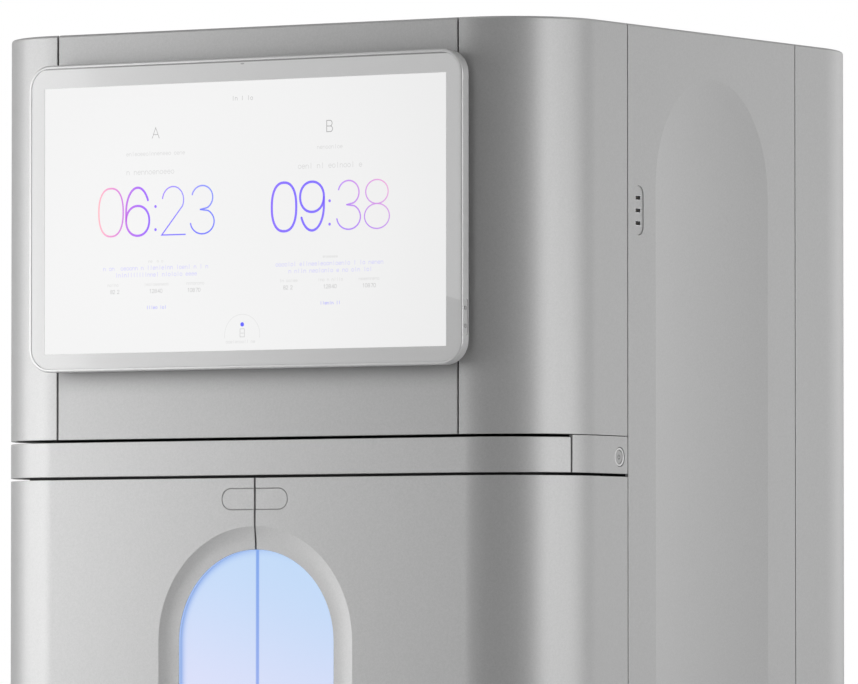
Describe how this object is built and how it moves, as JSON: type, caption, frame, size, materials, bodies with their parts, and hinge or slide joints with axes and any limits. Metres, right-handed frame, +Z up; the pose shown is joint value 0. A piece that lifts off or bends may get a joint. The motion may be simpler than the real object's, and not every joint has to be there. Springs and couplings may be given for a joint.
{
  "type": "dna sequencer",
  "caption": "Floor-standing bench-class sequencing cabinet with a lifting visor that carries a touch screen, a keyboard drawer and two arched, lit doors.",
  "frame": {"origin": "on the floor under the middle of the whole instrument, screen included", "axes": "+X to the right seen from the front, +Y to the rear, +Z up"},
  "size_m": [0.864, 0.933, 1.588],
  "materials": {
    "silver_paint": "fine satin metallic silver",
    "dark_frame": "matt black powder coat",
    "bright_steel": "ground steel",
    "grey_metal": "satin grey sheet metal",
    "white_plastic": "matt moulded plastic",
    "cast_aluminium": "bead-blasted aluminium",
    "black_plastic": "matt black plastic",
    "port_steel": "bright pressed steel",
    "port_panel": "satin grey plastic",
    "button_grey": "satin grey button",
    "screen_housing": "satin anodised aluminium",
    "screen_border": "pale grey back-painted glass",
    "screen_light": "lit white screen",
    "window_light": "lit translucent panel, pale blue to lilac",
    "bottle_plastic": "milky blow-moulded plastic"
  },
  "bodies": {
    "cabinet": {"base_frame": "dark_frame", "button_block": "silver_paint", "computer_module": "grey_metal", "drawer_rails": "dark_frame", "fan_frames": "black_plastic", "flow_cell_bay": "white_plastic", "fluids_cabinet": "white_plastic", "hinge_arms": "bright_steel", "hinge_pins": "bright_steel", "imaging_module": "grey_metal", "left_corner_cover": "silver_paint", "left_side_panel": "silver_paint", "levelling_feet": "bright_steel", "mains_inlet": "black_plastic", "mid_deck": "dark_frame", "optics_head": "cast_aluminium", "power_button_ring": "port_steel", "power_supply": "grey_metal", "reagent_chiller": "white_plastic", "rear_left_cover": "silver_paint", "rear_panel": "silver_paint", "rear_right_cover": "silver_paint", "right_corner_cover": "silver_paint", "right_side_panel": "silver_paint", "sipper_rails": "bright_steel", "stage_rails": "bright_steel", "top_cover": "silver_paint", "upper_deck": "dark_frame", "uprights": "dark_frame", "usb_plate": "port_panel", "usb_sockets": "port_steel", "visor_rails": "bright_steel"},
    "visor": {"visor": "silver_paint", "visor_liner": "grey_metal", "visor_carriages": "bright_steel", "monitor_mount": "grey_metal", "monitor_housing": "screen_housing", "monitor_bezel": "screen_border", "display_panel": "screen_light"},
    "monitor_upper_button": {"monitor_upper_button": "button_grey"},
    "monitor_lower_button": {"monitor_lower_button": "button_grey"},
    "keyboard_drawer": {"drawer_front": "silver_paint", "keyboard_tray": "grey_metal", "drawer_runners": "bright_steel"},
    "left_door": {"left_door": "silver_paint", "left_window": "window_light", "left_door_liner": "grey_metal"},
    "right_door": {"right_door": "silver_paint", "right_window": "window_light", "right_door_liner": "grey_metal"},
    "power_button": {"power_button": "button_grey"},
    "left_sipper": {"left_sipper": "white_plastic"},
    "right_sipper": {"right_sipper": "white_plastic"},
    "buffer_drawer": {"buffer_drawer": "white_plastic"},
    "waste_drawer": {"waste_drawer": "white_plastic", "waste_bottles": "bottle_plastic"},
    "stage": {"stage_carriage": "cast_aluminium", "flow_cell_nests": "cast_aluminium"},
    "left_fan": {"left_fan_rotor": "black_plastic"},
    "right_fan": {"right_fan_rotor": "black_plastic"}
  },
  "joints": [
    {"name": "visor_lift", "type": "slide", "parent": "cabinet", "child": "visor", "axis": [0, 0, 1], "range_m": [0, 0.23]},
    {"name": "monitor_upper_press", "type": "slide", "parent": "visor", "child": "monitor_upper_button", "axis": [-1, 0, 0], "range_m": [0, 0.0008], "stiffness_N_per_m": 500},
    {"name": "monitor_lower_press", "type": "slide", "parent": "visor", "child": "monitor_lower_button", "axis": [-1, 0, 0], "range_m": [0, 0.0008], "stiffness_N_per_m": 500},
    {"name": "keyboard_drawer_pull", "type": "slide", "parent": "cabinet", "child": "keyboard_drawer", "axis": [0, -1, 0], "range_m": [0, 0.28]},
    {"name": "left_door_swing", "type": "hinge", "parent": "cabinet", "child": "left_door", "pos_m": [-0.419, -0.28295, 0.55], "axis": [0, 0, -1], "range_deg": [0, 100]},
    {"name": "right_door_swing", "type": "hinge", "parent": "cabinet", "child": "right_door", "pos_m": [0.419, -0.28295, 0.55], "axis": [0, 0, 1], "range_deg": [0, 100]},
    {"name": "power_press", "type": "slide", "parent": "cabinet", "child": "power_button", "axis": [-1, 0, 0], "range_m": [0, 0.002], "stiffness_N_per_m": 900},
    {"name": "left_sipper_drop", "type": "slide", "parent": "cabinet", "child": "left_sipper", "axis": [0, 0, -1], "range_m": [0, 0.1]},
    {"name": "right_sipper_drop", "type": "slide", "parent": "cabinet", "child": "right_sipper", "axis": [0, 0, -1], "range_m": [0, 0.1]},
    {"name": "buffer_drawer_pull", "type": "slide", "parent": "cabinet", "child": "buffer_drawer", "axis": [0, -1, 0], "range_m": [0, 0.14]},
    {"name": "waste_drawer_pull", "type": "slide", "parent": "cabinet", "child": "waste_drawer", "axis": [0, -1, 0], "range_m": [0, 0.14]},
    {"name": "stage_travel", "type": "slide", "parent": "cabinet", "child": "stage", "axis": [0, 1, 0], "range_m": [0, 0.068]},
    {"name": "left_fan_spin", "type": "hinge", "parent": "cabinet", "child": "left_fan", "pos_m": [-0.095, 0.448, 1.44], "axis": [0, 1, 0], "continuous": true},
    {"name": "right_fan_spin", "type": "hinge", "parent": "cabinet", "child": "right_fan", "pos_m": [0.095, 0.448, 1.44], "axis": [0, 1, 0], "continuous": true}
  ]
}
